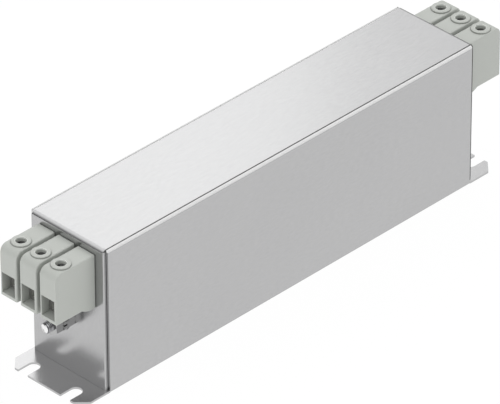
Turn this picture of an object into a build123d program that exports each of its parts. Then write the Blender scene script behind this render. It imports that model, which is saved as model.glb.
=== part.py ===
"""Three-phase mains filter in a book-style case.

The case is two folded sheets: a cover with end plates and welded lips, and a
channel that makes both long sides, the floor and the slotted feet. Three touch-safe terminals
and an earth stud stand out of each end. Inside are two three-winding chokes,
six line capacitors, an earth capacitor and three discharge resistors on a board.

X runs along the case, with the line end at -X, Y across it and Z up.
The origin is the middle of the footprint, on the mounting plane. Millimetres.
"""

import os
from math import cos, radians, sin

from build123d import *

os.makedirs("parts", exist_ok=True)

# Case
case_length = 220.4
case_width = 45.0
case_height = 70.7
sheet = 1.0
fold_round = 0.5
top_round = 2.1
rim_round = 0.95
seam = 0.2
lip = 9.0
skirt_gap = 0.05
channel_inset = 1.6

# Mounting feet
foot_length = 14.8
foot_chamfer = 5.0
slot_width = 5.8
slot_pitch = 25.2
slot_depth = 9.0

# Terminals
terminal_pitch = 11.7
terminal_width = 9.75
terminal_length = 22.4
terminal_height = 24.35
terminal_drop = 3.65
heel_drop = 2.0
heel_run = 8.0
nose_round = 3.7
terminal_edge = 0.7
collar_reach = 14.7
collar_diameter = 8.5
collar_height = 0.7
screw_bore = 5.0
terminal_wall = 1.1
entry_height = 9.9
entry_floor = 1.4
front_wall = 1.6
chamber_start = 9.0
roof_thickness = 7.9
neck_width = 7.0
neck_height = 13.0
neck_drop = 6.9
neck_reach = 5.0
hook = 0.6
moulding_gap = 0.1

# Clamp inside a terminal
bar_thickness = 1.5
bar_lift = 0.1
bar_side_gap = 0.2
bar_out = 18.4
bar_in = 16.5
lead_edge = 2.5
cage_wall = 1.0
cage_depth = 7.0
cage_side_gap = 0.2
cage_lift = 0.7
cage_travel = 1.9
clamp_thread = 4.0
clamp_head_clearance = 0.2
clamp_head_height = 2.4
clamp_slot = 0.8
clamp_head_gap = 4.2

# Retainer strip inside each end plate
retainer_thickness = 2.5
retainer_margin = 3.0
retainer_side_gap = 2.05
retainer_round = 1.5

# Earth stud and its hardware
stud_height = 28.8
stud_diameter = 5.0
stud_reach = 13.7
stud_chamfer = 0.4
stud_head = 8.0
stud_head_height = 1.4
hole_gap = 0.1
thread_gap = 0.05
plain_washer = 1.4
spring_washer = 1.3
spring_washer_split = 0.8
washer_diameter = 10.0
spring_washer_diameter = 9.2
nut_flats = 8.0
nut_height = 4.0
strap_thickness = 0.8
strap_width = 10.0
strap_landing = 6.0

# Liner and board
liner_thickness = 0.4
liner_bend = 0.7
liner_side_gap = 0.05
liner_drop = 5.8
liner_end_gap = 1.0
board_thickness = 1.6
board_stand = 3.2
board_side_gap = 0.3
board_end_gap = 4.5
post_diameter = 6.0
post_peg = 3.0
post_from_end = 15.9
post_from_side = 3.2
pin_proud = 1.5
part_gap = 1.5

# Chokes
choke_gap = 0.9
choke_lift = 0.6
core_outer = 50.0
core_inner = 26.0
core_height = 20.0
core_round = 1.5
wire = 2.0
wire_gap = 0.1
turns = 9
winding_arc = 80.0
winding_middles = (90.0, 210.0, 330.0)
lead_wire = 1.8
lead_bend = 2.0
lead_stub = 0.2
cradle_length = 28.0
cradle_width = 26.0
cradle_base = 2.0
saddle_length = 9.0
saddle_width = 16.0
saddle_rise = 1.0
divider_thickness = 1.6
divider_width = 18.0

# Capacitors and resistors
capacitor_height = 22.0
capacitor_gap = 0.4
capacitor_side_margin = 0.7
capacitor_lead_gap = 5.4
capacitor_round = 0.8
capacitor_pin_inset = 1.25
pin_diameter = 0.8
earth_capacitor_thickness = 8.0
earth_capacitor_width = 18.0
earth_capacitor_height = 14.0
earth_capacitor_pin_pitch = 15.0
resistor_diameter = 3.6
resistor_length = 9.0
resistor_pitch = 10.0
resistor_span = 13.0
terminal_lead = 2.2

# Derived places, shared by pieces that meet
ends = {"line": -1, "load": 1}
half_length = case_length / 2
cover_width = case_width - 2 * (sheet + seam)
cover_low = sheet + skirt_gap
channel_end = half_length - channel_inset

# Derived heights and widths of a terminal
terminal_rows = {1: -terminal_pitch, 2: 0.0, 3: terminal_pitch}
terminal_top = case_height - terminal_drop
terminal_toe = terminal_top - terminal_height
terminal_heel = terminal_toe - heel_drop
chamber_top = terminal_top - roof_thickness
chamber_width = terminal_width - 2 * terminal_wall
entry_low = terminal_toe + entry_floor
entry_high = entry_low + entry_height
neck_mid = terminal_top - neck_drop - neck_height / 2
neck_places = [(row, neck_mid) for row in terminal_rows.values()]
bar_low = entry_high + bar_lift
bar_high = bar_low + bar_thickness
cage_low = entry_low + cage_lift
cage_height = chamber_top - cage_travel - cage_low
cage_width = chamber_width - 2 * cage_side_gap
bar_width = cage_width - 2 * (cage_wall + bar_side_gap)
lead_place = bar_in - lead_edge

# Derived places along an earth stud
spring_start = nut_height + plain_washer
clamp_nut_start = spring_start + spring_washer

# Derived places on the board
liner_outer = cover_width / 2 - sheet - liner_side_gap
board_bottom = sheet + liner_thickness + board_stand
board_top = board_bottom + board_thickness
board_width = 2 * (liner_outer - liner_thickness - board_side_gap)
board_length = case_length - 2 * (sheet + board_end_gap)
post_x = board_length / 2 - post_from_end
post_y = board_width / 2 - post_from_side
loop_outer = core_outer / 2 + wire_gap + wire
choke_offset = loop_outer + earth_capacitor_thickness / 2 + choke_gap
choke_height = board_top + cradle_base + choke_lift + loop_outer
winding_reach = (core_inner + core_outer) / 4
lead_row = core_height / 2 + wire + lead_bend + lead_stub
resistor_mid = choke_offset + cradle_length / 2 + part_gap + resistor_span / 2
capacitor_start = resistor_mid + resistor_span / 2 + part_gap
capacitor_length = half_length - lead_place - capacitor_lead_gap - capacitor_start
capacitor_mid = capacitor_start + capacitor_length / 2
capacitor_width = (board_width - 2 * capacitor_side_margin - 2 * capacitor_gap) / 3
capacitor_pitch = capacitor_width + capacitor_gap
capacitor_pin_pitch = capacitor_length - 2 * capacitor_pin_inset


def side_plane(end, y=0.0):
    """Upright plane along the case, x out of one end plate and y up."""
    return Plane(origin=(end * half_length, y, 0), x_dir=(end, 0, 0), z_dir=(0, -end, 0))


def face_plane(end, y=0.0, out=0.0):
    """Plane parallel to one end plate, x across, y up and z out of the case."""
    return Plane(origin=(end * (half_length + out), y, 0), x_dir=(0, end, 0), z_dir=(end, 0, 0))


def save(piece, name):
    """Label a finished piece and write its file."""
    piece.part.label = name
    export_step(piece.part, f"parts/{name}.step")


# Cover: top and end plates folded from one strip, with lips inside the channel's walls
with BuildPart() as case_cover:
    with BuildSketch(Plane.XZ) as outline:
        with Locations((0, cover_low)):
            Rectangle(case_length, case_height - cover_low, align=(Align.CENTER, Align.MIN))
        fillet(outline.vertices().group_by(Axis.Y)[-1], top_round)
    extrude(amount=cover_width / 2, both=True)
    flat_sides = case_cover.faces().filter_by(Axis.Y).edges()
    fillet(flat_sides.filter_by(lambda e: e.center().Z > cover_low + sheet), fold_round)
    with BuildSketch(Plane.XZ) as hollow:
        with Locations((0, cover_low)):
            Rectangle(
                case_length - 2 * sheet, case_height - cover_low - sheet, align=(Align.CENTER, Align.MIN)
            )
        fillet(hollow.vertices().group_by(Axis.Y)[-1], top_round - sheet)
    extrude(amount=cover_width / 2 - sheet, both=True, mode=Mode.SUBTRACT)
    with BuildSketch(Plane.XZ):
        with Locations((0, cover_low)):
            Rectangle(
                case_length - 2 * lip, case_height - cover_low - lip, align=(Align.CENTER, Align.MIN)
            )
    extrude(amount=case_width, both=True, mode=Mode.SUBTRACT)
    for end in ends.values():
        with BuildSketch(face_plane(end)):
            with Locations(neck_places):
                Rectangle(neck_width + 2 * moulding_gap, neck_height + 2 * moulding_gap)
            with Locations((0, stud_height)):
                Circle(stud_diameter / 2 + hole_gap)
        extrude(amount=-2 * sheet, mode=Mode.SUBTRACT)
save(case_cover, "case_cover")

# Channel: long sides, floor and feet folded from one sheet, the sides set back from the feet
with BuildPart() as side_channel:
    with BuildSketch(Plane.YZ) as section:
        Rectangle(case_width, case_height, align=(Align.CENTER, Align.MIN))
        fillet(section.vertices().group_by(Axis.Y)[0], fold_round)
        with Locations((0, sheet)):
            Rectangle(
                case_width - 2 * sheet, case_height, align=(Align.CENTER, Align.MIN), mode=Mode.SUBTRACT
            )
    extrude(amount=channel_end, both=True)
    rims = side_channel.edges().filter_by(Axis.X).group_by(Axis.Z)[-1]
    fillet([rims.sort_by(Axis.Y)[0], rims.sort_by(Axis.Y)[-1]], rim_round)
    for end in ends.values():
        with BuildSketch(Plane.XY) as foot:
            with Locations((end * (half_length + (foot_length - channel_inset) / 2), 0)):
                Rectangle(foot_length + channel_inset, case_width)
            chamfer(foot.vertices().group_by(Axis((0, 0, 0), (end, 0, 0)))[-1], foot_chamfer)
            for side in (-1, 1):
                with Locations((end * (half_length + foot_length), side * slot_pitch / 2)):
                    SlotCenterToCenter(
                        2 * (slot_depth - slot_width / 2), slot_width, mode=Mode.SUBTRACT
                    )
        extrude(amount=sheet)
save(side_channel, "side_channel")

# Insulating film folded up both sides
with BuildPart() as insulating_liner:
    with BuildSketch(Plane.YZ):
        film_mid = liner_outer - liner_thickness / 2
        film_floor = sheet + liner_thickness / 2
        film_top = case_height - liner_drop
        with BuildLine():
            FilletPolyline(
                (-film_mid, film_top), (-film_mid, film_floor),
                (film_mid, film_floor), (film_mid, film_top),
                radius=liner_bend - liner_thickness / 2,
            )
        trace(line_width=liner_thickness)
    extrude(amount=half_length - sheet - liner_end_gap, both=True)
save(insulating_liner, "insulating_liner")

# Circuit board, held by six pegged posts standing on the film
post_places = [(x, y) for x in (-post_x, 0, post_x) for y in (-post_y, post_y)]
winding_ends = []
for choke_mid in (-choke_offset, choke_offset):
    for middle in winding_middles:
        for turn_side in (-1, 1):
            angle = radians(middle + turn_side * winding_arc / 2)
            winding_ends.append((choke_mid + winding_reach * cos(angle), turn_side * lead_row))
terminal_lead_places = [
    (end * (half_length - lead_place), y) for end in ends.values() for y in terminal_rows.values()
]
capacitor_rows = {1: -capacitor_pitch, 2: 0.0, 3: capacitor_pitch}
pin_places = [
    (end * capacitor_mid + side * capacitor_pin_pitch / 2, y)
    for end in ends.values() for y in capacitor_rows.values() for side in (-1, 1)
]
resistor_rows = (-resistor_pitch, 0.0, resistor_pitch)
resistor_pins = [
    (-resistor_mid + side * resistor_span / 2, y) for y in resistor_rows for side in (-1, 1)
]
earth_pins = [(0, -earth_capacitor_pin_pitch / 2), (0, earth_capacitor_pin_pitch / 2)]

with BuildPart() as circuit_board:
    with BuildSketch(Plane.XY.offset(board_bottom)):
        Rectangle(board_length, board_width)
        with Locations(post_places):
            Circle(post_peg / 2 + hole_gap, mode=Mode.SUBTRACT)
        with Locations(winding_ends):
            Circle(lead_wire / 2 + hole_gap, mode=Mode.SUBTRACT)
        with Locations(terminal_lead_places):
            Circle(terminal_lead / 2 + hole_gap, mode=Mode.SUBTRACT)
        with Locations(pin_places + resistor_pins + earth_pins):
            Circle(pin_diameter / 2 + hole_gap, mode=Mode.SUBTRACT)
    extrude(amount=board_thickness)
save(circuit_board, "circuit_board")

with BuildPart() as board_posts:
    with BuildSketch(Plane.XY.offset(sheet + liner_thickness)):
        with Locations(post_places):
            Circle(post_diameter / 2)
    extrude(amount=board_stand)
    with BuildSketch(Plane.XY.offset(board_bottom)):
        with Locations(post_places):
            Circle(post_peg / 2)
    extrude(amount=board_thickness)
save(board_posts, "board_posts")


def terminal_housing(end, y):
    """Touch-safe housing: closed top with a screw collar, wire entry low in the front."""
    with BuildPart() as housing:
        with BuildSketch(side_plane(end, y)):
            with BuildLine():
                heel = RadiusArc((0, terminal_heel), (heel_run, terminal_toe), -1.6 * heel_run)
                Line(heel @ 1, (terminal_length, terminal_toe))
                FilletPolyline(
                    (terminal_length, terminal_toe), (terminal_length, terminal_top),
                    (0, terminal_top), (0, terminal_heel),
                    radius=[nose_round, terminal_edge],
                )
            make_face()
        extrude(amount=terminal_width / 2, both=True)
        flanks = housing.faces().filter_by(Axis.Y).edges()
        rounded = flanks.filter_by(
            lambda e: e.center().Z > entry_low and abs(e.center().X) > half_length + terminal_edge
        )
        fillet(rounded, terminal_edge)
        with BuildSketch(Plane.XY.offset(terminal_top - collar_height)):
            with Locations((end * (half_length + collar_reach), y)):
                Circle(collar_diameter / 2)
        extrude(amount=2 * collar_height)
        rim = housing.faces().sort_by(Axis.Z)[-1].edges()
        fillet(rim, collar_height / 2)
        with BuildSketch(face_plane(end, y, out=terminal_length)):
            with Locations((0, entry_low)):
                Rectangle(chamber_width, entry_height, align=(Align.CENTER, Align.MIN))
        extrude(amount=chamber_start - terminal_length, mode=Mode.SUBTRACT)
        with BuildSketch(face_plane(end, y, out=terminal_length - front_wall)):
            with Locations((0, entry_low)):
                Rectangle(chamber_width, chamber_top - entry_low, align=(Align.CENTER, Align.MIN))
        extrude(amount=chamber_start + front_wall - terminal_length, mode=Mode.SUBTRACT)
        with BuildSketch(Plane.XY.offset(terminal_top + 2 * collar_height)):
            with Locations((end * (half_length + collar_reach), y)):
                Circle(screw_bore / 2)
        extrude(amount=chamber_top - terminal_top - 2 * collar_height, mode=Mode.SUBTRACT)
        with BuildSketch(face_plane(end, y)):
            with Locations((0, neck_mid)):
                Rectangle(neck_width, neck_height)
        extrude(amount=-neck_reach)
        with BuildSketch(face_plane(end, y, out=-sheet - retainer_thickness)):
            with Locations((0, neck_mid)):
                Rectangle(neck_width, neck_height + 2 * hook)
        extrude(amount=sheet + retainer_thickness - neck_reach)
        with BuildSketch(face_plane(end, y, out=chamber_start)):
            with Locations((0, (bar_low + bar_high) / 2)):
                Rectangle(bar_width + 2 * moulding_gap, bar_thickness + 2 * moulding_gap)
        extrude(amount=-chamber_start - neck_reach, mode=Mode.SUBTRACT)
    return housing


def conductor_bar(end, y):
    """Tinned copper bar from the clamp through the end plate to the lead hole."""
    with BuildPart() as bar:
        with BuildSketch(Plane.XY.offset(bar_low)):
            with Locations((end * (half_length + (bar_out - bar_in) / 2), y)):
                Rectangle(bar_out + bar_in, bar_width)
            with Locations((end * (half_length - lead_place), y)):
                Circle(terminal_lead / 2 + moulding_gap, mode=Mode.SUBTRACT)
        extrude(amount=bar_thickness)
    return bar


def clamp_cage(end, y):
    """Rising steel cage that pulls the wire up against the bar."""
    with BuildPart() as cage:
        with BuildSketch(face_plane(end, y, out=collar_reach)):
            with Locations((0, cage_low + cage_height / 2)):
                Rectangle(cage_width, cage_height)
                Rectangle(cage_width - 2 * cage_wall, cage_height - 2 * cage_wall, mode=Mode.SUBTRACT)
        extrude(amount=cage_depth / 2, both=True)
        with BuildSketch(Plane.XY.offset(cage_low + cage_height / 2)):
            with Locations((end * (half_length + collar_reach), y)):
                Circle(clamp_thread / 2 + thread_gap)
        extrude(amount=cage_height, mode=Mode.SUBTRACT)
    return cage


def terminal_lead_wire(end, y):
    """Straight copper lead from the bar down through the board."""
    with BuildPart() as lead:
        with BuildSketch(Plane.XY.offset(board_bottom - pin_proud)):
            with Locations((end * (half_length - lead_place), y)):
                Circle(terminal_lead / 2)
        extrude(amount=bar_high - board_bottom + 2 * pin_proud)
    return lead


for end_name, end in ends.items():
    for number, row in terminal_rows.items():
        save(terminal_housing(end, row), f"{end_name}_terminal_{number}")
        save(conductor_bar(end, row), f"{end_name}_conductor_bar_{number}")
        save(clamp_cage(end, row), f"{end_name}_clamp_cage_{number}")
        save(terminal_lead_wire(end, row), f"{end_name}_lead_{number}")

# Six clamp screws, each standing on its bar with its slotted head in the collar
with BuildPart() as clamp_screws:
    screw_places = [
        (end * (half_length + collar_reach), row)
        for end in ends.values() for row in terminal_rows.values()
    ]
    head_low = chamber_top + clamp_head_gap
    head_diameter = screw_bore - 2 * clamp_head_clearance
    with BuildSketch(Plane.XY.offset(bar_high)):
        with Locations(screw_places):
            Circle(clamp_thread / 2)
    extrude(amount=head_low - bar_high)
    with BuildSketch(Plane.XY.offset(head_low)):
        with Locations(screw_places):
            Circle(head_diameter / 2)
    extrude(amount=clamp_head_height)
    with BuildSketch(Plane.XY.offset(head_low + clamp_head_height)):
        with Locations(screw_places):
            Rectangle(clamp_slot, 2 * head_diameter)
    extrude(amount=-clamp_head_height / 2, mode=Mode.SUBTRACT)
save(clamp_screws, "clamp_screws")


def terminal_retainer(end):
    """Moulded strip inside the end plate that the housing necks snap through."""
    strip_width = cover_width - 2 * (sheet + retainer_side_gap)
    strip_height = neck_height + 2 * retainer_margin
    neck_hole = (neck_width + 2 * moulding_gap, neck_height + 2 * moulding_gap)
    with BuildPart() as strip:
        with BuildSketch(face_plane(end, out=-sheet)):
            with Locations((0, neck_mid)):
                RectangleRounded(strip_width, strip_height, retainer_round)
            with Locations(neck_places):
                Rectangle(*neck_hole, mode=Mode.SUBTRACT)
        extrude(amount=-retainer_thickness)
    return strip


def earth_stud(end, seat):
    """Headed stud through an end plate, its head a given seat inside the plate."""
    with BuildPart() as stud:
        with BuildSketch(face_plane(end, out=-sheet - seat)):
            with Locations((0, stud_height)):
                Circle(stud_head / 2)
        extrude(amount=-stud_head_height)
        with BuildSketch(face_plane(end, out=-sheet - seat)):
            with Locations((0, stud_height)):
                Circle(stud_diameter / 2)
        extrude(amount=stud_reach + sheet + seat)
        chamfer(stud.faces().sort_by(Axis.X)[0 if end < 0 else -1].edges(), stud_chamfer)
    return stud


# Terminal retainers and earth studs
for end_name, end in ends.items():
    save(terminal_retainer(end), f"{end_name}_retainer")
save(earth_stud(ends["line"], seat=strap_thickness), "line_earth_stud")
save(earth_stud(ends["load"], seat=0.0), "load_earth_stud")


# Washers of the earth studs: plain ones on the fixing nuts, split spring ones above
with BuildPart() as plain_washers:
    for end in ends.values():
        with BuildSketch(face_plane(end, out=nut_height)):
            with Locations((0, stud_height)):
                Circle(washer_diameter / 2)
                Circle(stud_diameter / 2 + hole_gap, mode=Mode.SUBTRACT)
        extrude(amount=plain_washer)
save(plain_washers, "plain_washers")

with BuildPart() as spring_washers:
    for end in ends.values():
        with BuildSketch(face_plane(end, out=spring_start)):
            with Locations((0, stud_height)):
                Circle(spring_washer_diameter / 2)
                Circle(stud_diameter / 2 + hole_gap, mode=Mode.SUBTRACT)
            with Locations((spring_washer_diameter / 2, stud_height)):
                Rectangle(spring_washer_diameter, spring_washer_split, mode=Mode.SUBTRACT)
        extrude(amount=spring_washer)
save(spring_washers, "spring_washers")

# Four equal hexagon nuts: one fixes each stud, one clamps the earth cable
with BuildPart() as earth_nuts:
    corner_radius = nut_flats / 2 / cos(radians(30))
    crown = (corner_radius - nut_flats / 2) / 2
    for end in ends.values():
        for start in (0, clamp_nut_start):
            with BuildSketch(face_plane(end, out=start)):
                with Locations((0, stud_height)):
                    RegularPolygon(corner_radius, 6, rotation=90)
            extrude(amount=nut_height)
    for end in ends.values():
        for start in (0, clamp_nut_start):
            with BuildSketch(side_plane(end)):
                for face, inward in ((start, 1), (start + nut_height, -1)):
                    with BuildLine():
                        Polyline(
                            (face, stud_height + nut_flats / 2),
                            (face, stud_height + corner_radius + crown),
                            (face + inward * 2 * crown, stud_height + corner_radius + crown),
                            close=True,
                        )
                    make_face()
            stud_axis = Axis((end * half_length, 0, stud_height), (end, 0, 0))
            revolve(axis=stud_axis, mode=Mode.SUBTRACT)
        with BuildSketch(face_plane(end)):
            with Locations((0, stud_height)):
                Circle(stud_diameter / 2 + thread_gap)
        extrude(amount=stud_reach, mode=Mode.SUBTRACT)
save(earth_nuts, "earth_nuts")

# Earth strap: a ring under the line stud's head, a leg down and a foot on the board
with BuildPart() as earth_strap:
    end = ends["line"]
    with BuildSketch(face_plane(end, out=-sheet)):
        with Locations((0, stud_height)):
            Circle(strap_width / 2)
        with Locations((0, (stud_height + board_top) / 2)):
            Rectangle(strap_width, stud_height - board_top)
        with Locations((0, stud_height)):
            Circle(stud_diameter / 2 + hole_gap, mode=Mode.SUBTRACT)
    extrude(amount=-strap_thickness)
    with BuildSketch(Plane.XY.offset(board_top)):
        foot_end = half_length - sheet - board_end_gap - strap_landing
        with Locations((end * (half_length - sheet + foot_end) / 2, 0)):
            Rectangle(half_length - sheet - foot_end, strap_width)
    extrude(amount=strap_thickness)
    outer_fold = earth_strap.edges().filter_by(Axis.Y).sort_by(Axis.Z)[:2].sort_by(Axis.X)[0]
    fillet(outer_fold, strap_thickness)
save(earth_strap, "earth_strap")


def choke_plane(choke_mid, angle):
    """Plane through a choke's axis, x out along a radius and y across the case."""
    across = (0, 1, 0)
    out = (cos(radians(angle)), 0, sin(radians(angle)))
    centre = (choke_mid, 0, choke_height)
    return Plane(origin=centre, x_dir=out, z_dir=Vector(*out).cross(Vector(*across)))


def choke_core(choke_mid):
    """Ring core standing on edge, its axis across the case."""
    with BuildPart() as core:
        with BuildSketch(choke_plane(choke_mid, 0)):
            with Locations((winding_reach, 0)):
                RectangleRounded((core_outer - core_inner) / 2, core_height, core_round)
        revolve(axis=Axis((choke_mid, 0, choke_height), (0, 1, 0)))
    return core


def choke_winding(choke_mid, middle):
    """One winding: turns that touch in the bore and fan out outside, and two leads."""
    loop_width = (core_outer - core_inner) / 2 + 2 * wire_gap
    loop_height = core_height + 2 * wire_gap
    first = middle - winding_arc / 2
    last = middle + winding_arc / 2
    with BuildPart() as winding:
        for turn in range(turns):
            angle = first + turn * winding_arc / (turns - 1)
            with BuildSketch(choke_plane(choke_mid, angle)):
                with Locations((winding_reach, 0)):
                    RectangleRounded(loop_width + 2 * wire, loop_height + 2 * wire, core_round + wire)
                    RectangleRounded(loop_width, loop_height, core_round, mode=Mode.SUBTRACT)
        extrude(amount=wire / 2, both=True)
        for angle, turn_side in ((first, -1), (last, 1)):
            lead_x = choke_mid + winding_reach * cos(radians(angle))
            lead_z = choke_height + winding_reach * sin(radians(angle))
            with BuildLine() as lead_path:
                FilletPolyline(
                    (lead_x, turn_side * (core_height / 2 + wire), lead_z),
                    (lead_x, turn_side * lead_row, lead_z),
                    (lead_x, turn_side * lead_row, board_bottom - pin_proud),
                    radius=lead_bend,
                )
            with BuildSketch(Plane(origin=lead_path.line @ 0, z_dir=lead_path.line % 0)):
                Circle(lead_wire / 2)
            sweep(path=lead_path.line)
    return winding


def choke_divider(choke_mid):
    """Three-armed spacer in the core's bore that keeps the windings apart."""
    with BuildPart() as divider:
        for middle in winding_middles:
            with BuildSketch(choke_plane(choke_mid, middle + 180 / len(winding_middles))):
                Rectangle(core_inner / 2 - moulding_gap, divider_width, align=(Align.MIN, Align.CENTER))
            extrude(amount=divider_thickness / 2, both=True)
    return divider


def choke_cradle(choke_mid):
    """Moulded foot with a curved saddle for the gap between the two lower windings."""
    with BuildPart() as cradle:
        with BuildSketch(Plane.XY.offset(board_top)):
            with Locations((choke_mid, 0)):
                RectangleRounded(cradle_length, cradle_width, core_round)
        extrude(amount=cradle_base)
        with BuildSketch(Plane.XY.offset(board_top + cradle_base)):
            with Locations((choke_mid, 0)):
                Rectangle(saddle_length, saddle_width)
        extrude(amount=choke_height - core_outer / 2 - board_top - cradle_base + saddle_rise)
        with BuildSketch(choke_plane(choke_mid, 0)):
            Rectangle(core_outer / 2, core_height, align=(Align.MIN, Align.CENTER))
        revolve(axis=Axis((choke_mid, 0, choke_height), (0, 1, 0)), mode=Mode.SUBTRACT)
    return cradle


# Two common-mode chokes, one behind the other
for end_name, end in ends.items():
    choke_mid = end * choke_offset
    save(choke_core(choke_mid), f"{end_name}_choke_core")
    save(choke_divider(choke_mid), f"{end_name}_choke_divider")
    save(choke_cradle(choke_mid), f"{end_name}_choke_cradle")
    for number, middle in enumerate(winding_middles, start=1):
        save(choke_winding(choke_mid, middle), f"{end_name}_choke_winding_{number}")


def box_capacitor(x, y, length, width, height, pins):
    """Moulded film capacitor with two straight pins through the board."""
    with BuildPart() as capacitor:
        with BuildSketch(Plane.XY.offset(board_top)):
            with Locations((x, y)):
                Rectangle(length, width)
        extrude(amount=height)
        top_edges = capacitor.faces().sort_by(Axis.Z)[-1].edges()
        fillet(capacitor.edges().filter_by(Axis.Z) + top_edges, capacitor_round)
        with BuildSketch(Plane.XY.offset(board_top)):
            with Locations(pins):
                Circle(pin_diameter / 2)
        extrude(amount=-board_thickness - pin_proud)
    return capacitor


# Line capacitors at both ends and one earth capacitor between the chokes
for end_name, end in ends.items():
    for number, row in capacitor_rows.items():
        middle = end * capacitor_mid
        pins = [(middle + side * capacitor_pin_pitch / 2, row) for side in (-1, 1)]
        body = box_capacitor(middle, row, capacitor_length, capacitor_width, capacitor_height, pins)
        save(body, f"{end_name}_capacitor_{number}")
earth_capacitor = box_capacitor(
    0, 0, earth_capacitor_thickness, earth_capacitor_width, earth_capacitor_height, earth_pins
)
save(earth_capacitor, "earth_capacitor")

# Discharge resistors beside the line capacitors
with BuildPart() as discharge_resistors:
    for row in resistor_rows:
        axis_height = board_top + resistor_diameter / 2
        with BuildSketch(Plane.YZ.offset(-resistor_mid - resistor_length / 2)):
            with Locations((row, axis_height)):
                Circle(resistor_diameter / 2)
        extrude(amount=resistor_length)
        with BuildLine() as pin_path:
            FilletPolyline(
                (-resistor_mid - resistor_span / 2, row, board_bottom - pin_proud),
                (-resistor_mid - resistor_span / 2, row, axis_height),
                (-resistor_mid + resistor_span / 2, row, axis_height),
                (-resistor_mid + resistor_span / 2, row, board_bottom - pin_proud),
                radius=pin_diameter,
            )
        with BuildSketch(Plane(origin=pin_path.line @ 0, z_dir=pin_path.line % 0)):
            Circle(pin_diameter / 2)
        sweep(path=pin_path.line)
save(discharge_resistors, "discharge_resistors")
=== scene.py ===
"""Dresses a three-phase mains filter: bright sheet case, moulded terminals, plated earth studs.

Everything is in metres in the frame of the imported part: X along the case with the line end
at -X, Y across it, Z up from the mounting plane.
"""

import math
from typing import NamedTuple

import bpy
import numpy as np
from mathutils import Matrix, Vector


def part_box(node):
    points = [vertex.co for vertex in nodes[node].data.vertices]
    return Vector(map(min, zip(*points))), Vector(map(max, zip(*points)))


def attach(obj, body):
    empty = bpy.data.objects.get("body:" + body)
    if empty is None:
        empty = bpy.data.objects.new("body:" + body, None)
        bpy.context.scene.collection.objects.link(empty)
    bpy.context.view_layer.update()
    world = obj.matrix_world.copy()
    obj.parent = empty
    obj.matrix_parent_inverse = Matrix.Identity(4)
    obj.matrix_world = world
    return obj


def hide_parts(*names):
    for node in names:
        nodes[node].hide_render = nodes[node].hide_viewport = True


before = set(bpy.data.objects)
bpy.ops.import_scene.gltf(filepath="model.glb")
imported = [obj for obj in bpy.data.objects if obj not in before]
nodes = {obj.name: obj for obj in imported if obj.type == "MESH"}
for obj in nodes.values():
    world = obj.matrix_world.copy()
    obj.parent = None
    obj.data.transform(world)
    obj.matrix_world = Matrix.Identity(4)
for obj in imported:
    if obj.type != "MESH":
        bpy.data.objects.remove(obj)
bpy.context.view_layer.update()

MM = 0.001

# Case sheets
# Two folded sheets of bright rolled steel: the cover makes the top and the end plates, the
# channel the long sides, the floor and the slotted feet. Strips along their edges are painted
# shade, painted light and a painted highlight.
STEEL_LIGHT = (0.515, 0.515, 0.517, 1.0)
STEEL_DARK = (0.440, 0.440, 0.444, 1.0)
STEEL_ROUGHNESS = 0.235
GRAIN_LENGTH = 3.0 * MM
GRAIN_WIDTH = 0.9 * MM
GRAIN_DEPTH = 0.0009 * MM
GRAIN_SHARE = 0.7
GRAIN_GLOSS = 0.05
CLOUD_SIZE = 38 * MM
CLOUD_GLOSS = 0.05
WAVE_SIZE = 55 * MM
WAVE_DEPTH = 0.02 * MM
SHEET = 1.0 * MM
CHANNEL_INSET = 1.6 * MM
RIM_ROUND = 0.95 * MM
# Painted highlight: the near wall's rounded rim is painted bright.
RIM_PAINTED_HIGHLIGHT = (0.76, 0.76, 0.76, 1.0)
# Painted shade: the cover's near long edge is painted dark for the shadow of its seam. The strips
# are this wide and duller.
EDGE_STRIP_WIDTH = 0.50 * MM
SEAM_PAINTED_SHADE = (0.12, 0.12, 0.12, 1.0)
STRIP_DULLER = 0.35
# Painted shade: a dark strip at the channel's far end for the shadow in its end seam.
END_STRIP = 0.45 * MM
END_PAINTED_SHADE = (0.04, 0.04, 0.04, 1.0)
# Painted light: the cover's far edge and the wall behind it are painted pale and matt, so the far
# seam reads light.
PAINTED_PALE_LIGHT = (0.80, 0.80, 0.80, 1.0)
EDGE_BLUR = 0.04 * MM
FOOT_BLUR = 0.1 * MM


class Wire:
    """A shader socket in arithmetic: each operator adds a Math node and gives its output."""

    def __init__(self, tree, socket=None):
        self.tree = tree
        self.socket = socket

    def node(self, kind, settings=None, inputs=None, out=None):
        """Add a node of that kind, set it up, fill or link its sockets, and give one output."""
        made = self.tree.nodes.new(kind)
        for key, value in (settings or {}).items():
            setattr(made, key, value)
        for key, value in (inputs or {}).items():
            socket = made.inputs[key] if isinstance(key, int) else live_socket(made.inputs, key)
            if isinstance(value, Wire):
                self.tree.links.new(value.socket, socket)
            else:
                socket.default_value = value
        return Wire(self.tree, live_socket(made.outputs, out) if made.outputs else None)

    def math(self, operation, *values):
        """A Math node on wires and plain numbers."""
        return self.node("ShaderNodeMath", {"operation": operation}, dict(enumerate(values)))

    def __add__(self, other):
        return self.math("ADD", self, other)

    def __radd__(self, other):
        return self.math("ADD", other, self)

    def __sub__(self, other):
        return self.math("SUBTRACT", self, other)

    def __rsub__(self, other):
        return self.math("SUBTRACT", other, self)

    def __mul__(self, other):
        return self.math("MULTIPLY", self, other)

    def __rmul__(self, other):
        return self.math("MULTIPLY", other, self)


def live_socket(sockets, name):
    """The first socket in use, by its name if one is given."""
    return next(s for s in sockets if s.enabled and name in (None, s.name))


def begin(name):
    """A new empty node material: returns it and a wire with the object's own coordinates."""
    material = bpy.data.materials.new(name)
    material.use_nodes = True
    material.node_tree.nodes.clear()
    return material, Wire(material.node_tree).node("ShaderNodeTexCoord", out="Object")


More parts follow.
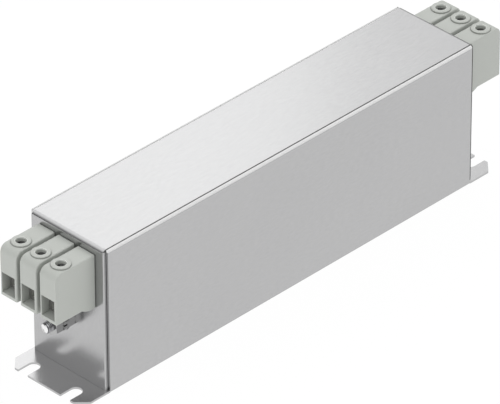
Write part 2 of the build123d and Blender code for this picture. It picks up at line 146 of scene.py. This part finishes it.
def noise(place, size, detail=2.0, stretch=(1.0, 1.0, 1.0)):
    """Soft noise between 0 and 1, its spots of that size, drawn out by stretch along each axis."""
    scale = tuple(1 / (size * s) for s in stretch)
    moved = place.node("ShaderNodeMapping", inputs={"Vector": place, "Scale": scale})
    inputs = {"Vector": moved, "Scale": 1.0, "Detail": detail}
    return moved.node("ShaderNodeTexNoise", inputs=inputs, out="Fac")


def blend_colours(factor, first, second):
    """Colour between two, by a wired factor."""
    inputs = {"Factor": factor, "A": first, "B": second}
    return factor.node("ShaderNodeMix", {"data_type": "RGBA"}, inputs, out="Result")


def relief(height, depth, under=None):
    """Bump of that depth from a height between 0 and 1, laid over another bump if one is given."""
    inputs = {"Height": height, "Distance": depth}
    if under is not None:
        inputs["Normal"] = under
    return height.node("ShaderNodeBump", inputs=inputs)


def finish(colour, roughness, bump, **others):
    """Close a material with the surface shader; others are named by socket, with _ for spaces."""
    inputs = {"Base Color": colour, "Roughness": roughness}
    if bump is not None:
        inputs["Normal"] = bump
    inputs.update({key.replace("_", " "): value for key, value in others.items()})
    shader = roughness.node("ShaderNodeBsdfPrincipled", inputs=inputs)
    shader.node("ShaderNodeOutputMaterial", inputs={"Surface": shader})


def axes(place):
    """Three wires with the distance along X, Y and Z."""
    along = place.node("ShaderNodeSeparateXYZ", inputs={"Vector": place}, out="X")
    return [Wire(along.tree, along.socket.node.outputs[axis]) for axis in "XYZ"]


def ramp(value, start, end):
    """0 before start, 1 past end and a straight slope between."""
    slope = (value - start) * (1 / (end - start))
    return slope.math("MINIMUM", slope.math("MAXIMUM", slope, 0.0), 1.0)


class Strip(NamedTuple):
    """Part of a sheet with its own colour: here painted shade, painted light or a painted highlight.

    It fades in between start and end, the distances along an axis to one side (-1 or 1), and lies
    above the height foot. Its roughness is the sheet's plus duller."""

    axis: str
    side: int
    start: float
    end: float
    foot: float
    colour: tuple
    metal: float = 1.0
    duller: float = 0.0


def rolled_steel(name, stretch, strips):
    """Bright sheet: faint rolling lines, clouds in its gloss and slight waves, then its strips of
    painted shade and light.
    """
    material, place = begin(name)
    along = dict(zip("XYZ", axes(place)))
    grain = noise(place, GRAIN_WIDTH, stretch=stretch)
    clouds = noise(place, CLOUD_SIZE)
    waves = noise(place, WAVE_SIZE, detail=1.0)
    tone = GRAIN_SHARE * grain + (1 - GRAIN_SHARE) * clouds
    colour = blend_colours(tone, STEEL_DARK, STEEL_LIGHT)
    roughness = STEEL_ROUGHNESS + GRAIN_GLOSS * (grain - 0.5) + CLOUD_GLOSS * (clouds - 0.5)
    metal = 1.0
    for strip in strips:
        reach = along[strip.axis] * strip.side
        above = ramp(along["Z"], strip.foot, strip.foot + FOOT_BLUR)
        inside = ramp(reach, strip.start, strip.end) * above
        colour = blend_colours(inside, colour, strip.colour)
        roughness = roughness + strip.duller * inside
        metal = metal - (1.0 - strip.metal) * inside
    bump = relief(grain, GRAIN_DEPTH, relief(waves, WAVE_DEPTH))
    finish(colour, roughness, bump, Metallic=metal)
    return material


def dress(names, material):
    """Give CAD nodes a material in their own slots."""
    for name in names:
        for slot in nodes[name].material_slots:
            slot.material = material


cover_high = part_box("case_cover")[1]
channel_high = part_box("side_channel")[1]
edge_start = cover_high.y - EDGE_STRIP_WIDTH
edge_end = edge_start + EDGE_BLUR
edge_foot = cover_high.z - SHEET
wall_end = channel_high.y - SHEET + EDGE_BLUR
wall_start = wall_end + EDGE_BLUR
end_start = cover_high.x - CHANNEL_INSET - END_STRIP
end_end = end_start + EDGE_BLUR

# The cover's near edge and the channel's far end carry painted shade: dark strips for the shadow in
# their seams. The cover's far edge and the wall behind it carry painted light, pale and matt, and
# the rim of the near wall carries a painted highlight.
pale_light_strip = {"colour": PAINTED_PALE_LIGHT, "metal": 0.0, "duller": STRIP_DULLER}
near_edge_shade = Strip("Y", -1, edge_start, edge_end, edge_foot, SEAM_PAINTED_SHADE, duller=STRIP_DULLER)
far_edge_light = Strip("Y", 1, edge_start, edge_end, edge_foot, **pale_light_strip)
far_wall_light = Strip("Y", 1, wall_start, wall_end, edge_foot, **pale_light_strip)
near_rim_highlight = Strip("Y", -1, wall_end, wall_start, channel_high.z - RIM_ROUND, RIM_PAINTED_HIGHLIGHT)
far_end_shade = Strip("X", 1, end_start, end_end, 2 * SHEET, END_PAINTED_SHADE, duller=STRIP_DULLER)

long_grain = GRAIN_LENGTH / GRAIN_WIDTH
cover_steel = rolled_steel("cover_steel", (long_grain, 1.0, long_grain), (near_edge_shade, far_edge_light))
channel_steel = rolled_steel("channel_steel", (long_grain, 1.0, 1.0), (far_wall_light, near_rim_highlight, far_end_shade))
dress(["case_cover"], cover_steel)
dress(["side_channel"], channel_steel)

# Terminals
# Three touch-safe housings at each end, injection moulded in pale grey polyamide with a satin
# face. Each is one moulding with a screw collar on top and a wire entry low in the front.
PLASTIC_LIGHT = (0.490, 0.508, 0.478, 1.0)
PLASTIC_DARK = (0.460, 0.478, 0.447, 1.0)
MOULD_TEXTURE = 0.12 * MM
MOULD_DEPTH = 0.003 * MM
MOULD_ROUGHNESS = 0.42
MOULD_IOR = 1.5
PORE_GLOSS = 0.10
FLOW_SIZE = 9 * MM
FLOW_SHARE = 0.7
TERMINAL_PITCH = 11.7 * MM
COLLAR_FROM_NOSE = 7.7 * MM
COLLAR_RADIUS = 4.25 * MM
COLLAR_HEIGHT = 0.7 * MM
# Painted shade in a ring round the foot of each collar, and a painted highlight at the mouth of each
# bore.
COLLAR_SHADE_WIDTH = 0.5 * MM
COLLAR_PAINTED_SHADE = (0.26, 0.27, 0.25, 1.0)
BORE_RADIUS = 2.5 * MM
BORE_BLUR = 0.1 * MM
MOUTH_DEPTH = 0.45 * MM
MOUTH_PAINTED_HIGHLIGHT = (0.86, 0.88, 0.84, 1.0)


def collar_painted_light(place, colour):
    """Paint shade in a ring at the foot of each screw collar, and paint a highlight on the mouth of
    its bore.

    Both go by the distance from the collar's axis, the root of its squares along X and along Y.
    The rows repeat across the case at the terminals' pitch."""
    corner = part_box("load_terminal_2")[1]
    x, y, z = axes(place)
    out = x.math("ABSOLUTE", x) - (corner.x - COLLAR_FROM_NOSE)
    across = y.math("WRAP", y, TERMINAL_PITCH / 2, -TERMINAL_PITCH / 2)
    radius = out.math("SQRT", out * out + across * across)
    foot = corner.z - COLLAR_HEIGHT
    outside = ramp(radius, COLLAR_RADIUS - COLLAR_SHADE_WIDTH / 2, COLLAR_RADIUS - COLLAR_SHADE_WIDTH / 4)
    fading = 1.0 - ramp(radius, COLLAR_RADIUS, COLLAR_RADIUS + COLLAR_SHADE_WIDTH)
    above = ramp(z, foot - COLLAR_HEIGHT, foot - COLLAR_HEIGHT / 2)
    below = 1.0 - ramp(z, foot + COLLAR_HEIGHT / 5, foot + COLLAR_HEIGHT * 3 / 5)
    shaded = blend_colours(outside * fading * above * below, colour, COLLAR_PAINTED_SHADE)
    in_bore = 1.0 - ramp(radius, BORE_RADIUS + BORE_BLUR / 2, BORE_RADIUS + BORE_BLUR * 3 / 2)
    mouth = ramp(z, corner.z - 2 * MOUTH_DEPTH, corner.z - MOUTH_DEPTH)
    return blend_colours(in_bore * mouth, shaded, MOUTH_PAINTED_HIGHLIGHT)


def moulded(name, dark, light, roughness=MOULD_ROUGHNESS, detail=None):
    """Moulded plastic: a fine eroded face and slow changes of tone from the melt's flow.

    detail is a function that works on the place and the colour, and gives the new colour."""
    material, place = begin(name)
    flow = noise(place, FLOW_SIZE)
    pores = noise(place, MOULD_TEXTURE)
    colour = blend_colours(FLOW_SHARE * flow + (1 - FLOW_SHARE) * pores, dark, light)
    if detail is not None:
        colour = detail(place, colour)
    gloss = roughness + PORE_GLOSS * (pores - 0.5)
    finish(colour, gloss, relief(pores, MOULD_DEPTH), IOR=MOULD_IOR)
    return material


ends = ("line", "load")
numbers = (1, 2, 3)


def each(part):
    """Names of one part of every terminal or winding, at both ends."""
    return [f"{end}_{part}_{number}" for end in ends for number in numbers]


terminal_plastic = moulded("terminal_plastic", PLASTIC_DARK, PLASTIC_LIGHT, detail=collar_painted_light)
dress(each("terminal"), terminal_plastic)

# Clamps
# A zinc-plated screw and a rising cage hold the wire against a tinned copper bar. They show
# only down the screw bore and in the wire entry. The screws are painted nearly black as painted
# shade deep in the bore, and the cage's front faces carry painted shade for the dark wire entry.
ZINC_LIGHT = (0.62, 0.62, 0.59, 1.0)
ZINC_DARK = (0.52, 0.53, 0.50, 1.0)
# Painted shade on the cage's front faces in the wire entry.
CAGE_ENTRY_SHADE = (0.16, 0.16, 0.15, 1.0)
FRONT_DEPTH = 0.3 * MM
# Painted shade: the screws are painted nearly black for the shade deep in the bore.
SCREW_SHADE_LIGHT = (0.17, 0.17, 0.17, 1.0)
SCREW_SHADE_DARK = (0.11, 0.11, 0.11, 1.0)
TIN_LIGHT = (0.74, 0.72, 0.68, 1.0)
TIN_DARK = (0.60, 0.57, 0.52, 1.0)
PLATING_SPOT = 0.6 * MM
PLATING_DEPTH = 0.002 * MM
PLATING_GLOSS = 0.12
CAGE_ROUGHNESS = 0.55
CAGE_METAL = 0.2


def plated(name, dark, light, roughness, metal=1.0):
    """Plated metal: small spangles that change its tone and gloss a little."""
    material, place = begin(name)
    spangle = noise(place, PLATING_SPOT, detail=3.0)
    colour = blend_colours(spangle, dark, light)
    gloss = roughness + PLATING_GLOSS * (spangle - 0.5)
    finish(colour, gloss, relief(spangle, PLATING_DEPTH), Metallic=metal)
    return material


def cage_zinc(front):
    """Matt zinc with painted shade on the faces about the wire's way in, which lie at front along X.
    """
    material, place = begin("cage_zinc")
    x = axes(place)[0]
    spangle = noise(place, PLATING_SPOT, detail=3.0)
    mouth = ramp(x.math("ABSOLUTE", x), front - FRONT_DEPTH, front - FRONT_DEPTH / 2)
    colour = blend_colours(mouth, blend_colours(spangle, ZINC_DARK, ZINC_LIGHT), CAGE_ENTRY_SHADE)
    gloss = CAGE_ROUGHNESS + PLATING_GLOSS * (spangle - 0.5)
    finish(colour, gloss, relief(spangle, PLATING_DEPTH), Metallic=CAGE_METAL)
    return material


cage_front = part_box("load_clamp_cage_2")[1].x
screw_painted_shade = plated("screw_painted_shade", SCREW_SHADE_DARK, SCREW_SHADE_LIGHT, roughness=0.45, metal=0.8)
tinned_bar = plated("tinned_bar", TIN_DARK, TIN_LIGHT, roughness=0.45, metal=0.4)
dress(each("clamp_cage"), cage_zinc(cage_front))
dress(["clamp_screws"], screw_painted_shade)
dress(each("conductor_bar"), tinned_bar)

# Earth hardware
# A headed M5 stud with a rolled thread comes through each end plate from inside. A nut fixes it,
# and a plain washer, a split washer and a second nut clamp the cable. All is bright nickel plate;
# the stud's end face is painted far brighter as a painted highlight, and the thread's grooves are
# painted nearly black as painted shade.
NICKEL_LIGHT = (0.48, 0.48, 0.48, 1.0)
NICKEL_DARK = (0.40, 0.40, 0.40, 1.0)
TIP_HIGHLIGHT_LIGHT = (0.92, 0.92, 0.92, 1.0)
TIP_HIGHLIGHT_DARK = (0.86, 0.86, 0.86, 1.0)
CREST = (0.46, 0.46, 0.47, 1.0)
# Painted shade: the thread's grooves are painted nearly black.
THREAD_GROOVE_SHADE = (0.10, 0.10, 0.11, 1.0)
THREAD_ROUGHNESS = 0.20
THREAD_GLOSS = 0.10
THREAD_RADIUS = 2.5 * MM
THREAD_PITCH = 0.8 * MM
THREAD_DEPTH = 0.45 * MM
TIP_CONE = 0.7 * MM
HEAD_HEIGHT = 1.4 * MM
HEAD_PROFILE = ((0.0, 0.96), (0.15 * MM, 1.0), (HEAD_HEIGHT, 1.0), (HEAD_HEIGHT, 0.7))
ANGLES = 64
STEPS_PER_PITCH = 12


def thread_with_painted_shade(height):
    """Rolled thread: nickel on the crests and painted shade, nearly black, in the grooves.

    The axis runs along X at that height. The distance from it, the root of its squares along Y
    and along Z, tells crest from groove."""
    material, place = begin("thread_nickel")
    y, z = axes(place)[1:]
    rise = z - height
    squares = y * y + rise * rise
    reach = squares.math("SQRT", squares)
    crest = ramp(reach, THREAD_RADIUS - THREAD_DEPTH, THREAD_RADIUS)
    spangle = noise(place, PLATING_SPOT, detail=3.0)
    colour = blend_colours(crest, THREAD_GROOVE_SHADE, CREST)
    finish(colour, THREAD_ROUGHNESS + THREAD_GLOSS * spangle, None, Metallic=1.0)
    return material


def closed_turning(name, axis_start, direction, along, radius):
    """Closed solid about an axis: point = start + direction * along in X, radius * (cos, sin) in YZ.

    along has one value for each ring, and radius one for each ring and angle. Both ends are
    closed by a fan to a point on the axis."""
    angles = np.arange(radius.shape[1]) * 2 * np.pi / radius.shape[1]
    rings = np.empty(radius.shape + (3,))
    rings[..., 0] = axis_start[0] + direction * along[:, None]
    rings[..., 1] = axis_start[1] + radius * np.cos(angles)
    rings[..., 2] = axis_start[2] + radius * np.sin(angles)
    count, columns = radius.shape
    points = rings.reshape(-1, 3)
    caps = np.array([rings[0].mean(0), rings[-1].mean(0)])
    row, column = np.meshgrid(np.arange(count - 1), np.arange(columns), indexing="ij")
    here = row * columns + column
    right = row * columns + (column + 1) % columns
    quads = np.stack([here, right, right + columns, here + columns], -1).reshape(-1, 4)
    around = np.arange(columns)
    beyond = (around + 1) % columns
    last = (count - 1) * columns
    first_cap = np.stack([beyond, around, np.full(columns, len(points))], -1)
    last_cap = np.stack([last + around, last + beyond, np.full(columns, len(points) + 1)], -1)
    faces = quads.tolist() + first_cap.tolist() + last_cap.tolist()
    if direction > 0:
        faces = [face[::-1] for face in faces]
    mesh = bpy.data.meshes.new(name)
    mesh.from_pydata(np.vstack([points, caps]).tolist(), [], faces)
    mesh.polygons.foreach_set("use_smooth", np.ones(len(mesh.polygons), bool))
    mesh.update()
    piece = bpy.data.objects.new(name, mesh)
    bpy.context.scene.collection.objects.link(piece)
    return piece


def threaded_stud(end, direction):
    """Stud in place of the plain one: radius = crest - depth * ridge(along / pitch - angle / turn).

    The ridge is a rounded V. The thread begins at the head, inside the case, and ends in a cone
    at the tip. The head's profile gives places along the axis and shares of the head's radius."""
    low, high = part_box(f"{end}_earth_stud")
    head_radius = (high.z - low.z) / 2
    shank = high.x - low.x - HEAD_HEIGHT
    along = np.append(np.arange(0, shank, THREAD_PITCH / STEPS_PER_PITCH), shank)
    angles = np.arange(ANGLES) * 2 * np.pi / ANGLES
    turn = (along[:, None] / THREAD_PITCH - angles / (2 * np.pi)) % 1.0
    ridge = 0.5 - 0.5 * np.cos(2 * np.pi * turn)
    fade = np.clip(along / (2 * THREAD_PITCH), 0, 1)[:, None]
    radius = THREAD_RADIUS - THREAD_DEPTH * ridge * fade
    to_tip = (shank - along)[:, None]
    radius = np.minimum(radius, THREAD_RADIUS - THREAD_DEPTH + to_tip * THREAD_DEPTH / TIP_CONE)
    head_along, head_share = np.array(HEAD_PROFILE).T
    head_rings = np.outer(head_share * head_radius, np.ones(ANGLES))
    along = np.concatenate([head_along, along + HEAD_HEIGHT])
    radius = np.vstack([head_rings, radius])
    head_side = low.x if direction > 0 else high.x
    start = (head_side, (low.y + high.y) / 2, (low.z + high.z) / 2)
    return closed_turning(f"{end}_threaded_stud", start, direction, along, radius)


nuts_and_washers = ["earth_nuts", "plain_washers", "spring_washers"]
dress(nuts_and_washers, plated("nut_nickel", NICKEL_DARK, NICKEL_LIGHT, roughness=0.18))
# The stud's end face: the same nickel painted far brighter, a painted highlight.
tip_painted_highlight = plated("tip_painted_highlight", TIP_HIGHLIGHT_DARK, TIP_HIGHLIGHT_LIGHT, roughness=0.16)
stud_low, stud_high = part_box("line_earth_stud")
thread_nickel = thread_with_painted_shade((stud_low.z + stud_high.z) / 2)

for end, direction in (("line", -1), ("load", 1)):
    stud = threaded_stud(end, direction)
    stud.data.materials.append(tip_painted_highlight)
    stud.data.materials.append(thread_nickel)
    faces = len(stud.data.polygons)
    on_thread = np.arange(faces) < faces - 2 * ANGLES
    stud.data.polygons.foreach_set("material_index", on_thread.astype(np.int32))
    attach(stud, "root")
    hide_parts(f"{end}_earth_stud")

# Inside the case
# A green glass-epoxy board on nylon posts over an insulating film carries two three-winding
# chokes, box capacitors and resistors. None of it shows while the case is closed.
RESIST = ((0.03, 0.13, 0.05, 1.0), (0.05, 0.20, 0.07, 1.0))
RESIST_ROUGHNESS = 0.32
WEAVE = 0.5 * MM
WEAVE_DEPTH = 0.004 * MM
WEAVE_GLOSS = 0.08
DRIFT_SIZE = 4 * MM
DRIFT_DEPTH = 0.006 * MM
DRIFT_GLOSS = 0.08
CLEAR_COAT = 0.4
FILM = ((0.62, 0.60, 0.52, 1.0), (0.72, 0.70, 0.60, 1.0))
NYLON = ((0.020, 0.020, 0.022, 1.0), (0.035, 0.035, 0.038, 1.0))
COPPER = ((0.62, 0.30, 0.18, 1.0), (0.80, 0.42, 0.26, 1.0))
ENAMEL = ((0.36, 0.11, 0.03, 1.0), (0.55, 0.20, 0.06, 1.0))
CORE_PAINT = ((0.06, 0.08, 0.13, 1.0), (0.10, 0.13, 0.20, 1.0))
SHELL = ((0.50, 0.38, 0.08, 1.0), (0.60, 0.46, 0.10, 1.0))
RESISTOR_COAT = ((0.14, 0.24, 0.36, 1.0), (0.20, 0.32, 0.45, 1.0))


def woven_board(name, dark, light):
    """Solder resist over glass cloth: the mean of two sine waves, along X and along Y."""
    material, place = begin(name)
    threads = [part * (2 * math.pi / WEAVE) for part in axes(place)[:2]]
    warp, weft = [thread.math("SINE", thread) for thread in threads]
    weave = 0.5 + 0.25 * (warp + weft)
    roughness = RESIST_ROUGHNESS + WEAVE_GLOSS * weave
    finish(blend_colours(weave, dark, light), roughness, relief(weave, WEAVE_DEPTH))
    return material


def lacquered(name, dark, light, roughness):
    """Dipped or painted part: an even coat whose tone drifts slowly, with a clear gloss."""
    material, place = begin(name)
    drift = noise(place, DRIFT_SIZE, detail=3.0)
    colour = blend_colours(drift, dark, light)
    gloss = roughness + DRIFT_GLOSS * drift
    finish(colour, gloss, relief(drift, DRIFT_DEPTH), Coat_Weight=CLEAR_COAT)
    return material


nylon_parts = ["board_posts"]
for end in ends:
    nylon_parts += [f"{end}_retainer", f"{end}_choke_divider", f"{end}_choke_cradle"]
dress(["circuit_board"], woven_board("board_resist", *RESIST))
dress(["insulating_liner"], moulded("liner_film", *FILM, roughness=0.5))
dress(nylon_parts, moulded("black_nylon", *NYLON, roughness=0.45))
dress(each("lead") + ["earth_strap"], plated("bare_copper", *COPPER, roughness=0.30))
dress(each("choke_winding"), lacquered("enamelled_wire", *ENAMEL, roughness=0.25))
dress([f"{end}_choke_core" for end in ends], lacquered("core_paint", *CORE_PAINT, roughness=0.40))
capacitors = each("capacitor") + ["earth_capacitor"]
dress(capacitors, moulded("capacitor_shell", *SHELL, roughness=0.38))
dress(["discharge_resistors"], lacquered("resistor_coat", *RESISTOR_COAT, roughness=0.35))

# Studio
# A white floor under a pale sky that is darker at the horizon and straight above, and four soft
# lights: two beyond the far side for the shine on the top, one on the right and one on the left.
FLOOR_SIZE = 6.0
FLOOR_PALE = (0.04, 0.04, 0.04, 1.0)
FLOOR_GLOW = 0.965
FLOOR_ROUGHNESS = 0.88
FLOOR_GLOSS = 0.04
FLOOR_SPOT = 0.5
WHITE = (1.0, 1.0, 1.0, 1.0)
SKY_LOW = 0.10
SKY_RISE = 2.10
SKY_SIDE = 0.45
SKY_CAP = 1.45
ZENITH_DIM = 1.0
ZENITH_START = 0.82
ZENITH_FULL = 0.95

half = FLOOR_SIZE / 2
floor_mesh = bpy.data.meshes.new("floor")
corners = [(-half, -half, 0), (half, -half, 0), (half, half, 0), (-half, half, 0)]
floor_mesh.from_pydata(corners, [], [(0, 1, 2, 3)])
floor = bpy.data.objects.new("floor", floor_mesh)
bpy.context.scene.collection.objects.link(floor)
floor_paint, floor_place = begin("floor_paint")
floor_tone = noise(floor_place, FLOOR_SPOT, detail=1.0)
finish(
    FLOOR_PALE, FLOOR_ROUGHNESS + FLOOR_GLOSS * floor_tone, None,
    Emission_Color=WHITE, Emission_Strength=FLOOR_GLOW, Specular_IOR_Level=0.0,
)
floor_mesh.materials.append(floor_paint)

# Sky: low + rise * z * z + side * (x - y) / root 2 up to the cap, and dimmed straight above.
world = bpy.data.worlds.new("studio")
world.use_nodes = True
background = world.node_tree.nodes["Background"]
look = Wire(world.node_tree).node("ShaderNodeTexCoord", out="Generated")
along, across, height = axes(look)
rise = height.math("MAXIMUM", height, 0.0)
side = height.math("MAXIMUM", along - across, 0.0)
glow = SKY_LOW + SKY_RISE * rise * rise + SKY_SIDE * math.sqrt(0.5) * side
zenith = ramp(height, ZENITH_START, ZENITH_FULL)
glow = glow.math("MINIMUM", glow, SKY_CAP) - ZENITH_DIM * zenith
world.node_tree.links.new(glow.socket, background.inputs["Strength"])
background.inputs["Color"].default_value = WHITE
bpy.context.scene.world = world
bpy.context.scene.view_settings.view_transform = "Standard"


class SoftLight(NamedTuple):
    """A rectangular lamp that faces a target: size is its width and height, power is in watts."""

    place: tuple
    target: tuple
    size: tuple
    power: float


LIGHTS = {
    "key_shine": SoftLight((0.344, 0.820, 0.372), (-0.243, 0.236, -0.188), (0.76, 0.82), 0.98),
    "key_spill": SoftLight((0.388, 0.776, 0.372), (-0.199, 0.192, -0.188), (0.90, 0.82), 1.11),
    "right_fill": SoftLight((0.75, -0.35, 0.95), (0.0, 0.0, 0.05), (1.00, 0.80), 1.3),
    "left_fill": SoftLight((-1.30, 0.10, 0.50), (-0.10, 0.0, 0.05), (0.70, 0.70), 3.8),
}

for name, light in LIGHTS.items():
    lamp = bpy.data.lights.new(name, "AREA")
    lamp.shape = "RECTANGLE"
    lamp.size, lamp.size_y = light.size
    lamp.energy = light.power
    aim = Vector(light.target) - Vector(light.place)
    holder = bpy.data.objects.new(name, lamp)
    holder.location = light.place
    holder.rotation_euler = aim.to_track_quat("-Z", "Y").to_euler()
    holder.visible_camera = False
    bpy.context.scene.collection.objects.link(holder)

# Camera
# Stands where the photograph was taken from: a long lens from the line end's right, looking
# down at 34 degrees, worked out from the case's edges for a picture of 500 by 404.
VIEW_AZIMUTH = math.radians(-45.1553)
VIEW_ELEVATION = math.radians(34.0482)
VIEW_ROLL = math.radians(-0.1688)
PICTURE_WIDTH = 500
FOCAL_PIXELS = 6518.46
SENSOR = 36.0
CLIP_END = 20.0
VIEW_SHIFT = (2.8400 * MM, -26.4905 * MM)
VIEW_DISTANCE = 2768.40 * MM

level = Vector((math.cos(VIEW_AZIMUTH), math.sin(VIEW_AZIMUTH), 0))
back = Vector((
    math.sin(VIEW_AZIMUTH) * math.cos(VIEW_ELEVATION),
    -math.cos(VIEW_AZIMUTH) * math.cos(VIEW_ELEVATION),
    math.sin(VIEW_ELEVATION),
))
upright = back.cross(level)
right = math.cos(VIEW_ROLL) * level + math.sin(VIEW_ROLL) * upright
up = -math.sin(VIEW_ROLL) * level + math.cos(VIEW_ROLL) * upright
stand = -VIEW_SHIFT[0] * right - VIEW_SHIFT[1] * up + VIEW_DISTANCE * back

lens = bpy.data.cameras.new("camera")
lens.sensor_width = SENSOR
lens.lens = SENSOR * FOCAL_PIXELS / PICTURE_WIDTH
lens.clip_end = CLIP_END
camera = bpy.data.objects.new("camera", lens)
camera.matrix_world = Matrix.Translation(stand) @ Matrix((right, up, back)).transposed().to_4x4()
bpy.context.scene.collection.objects.link(camera)
bpy.context.scene.camera = camera
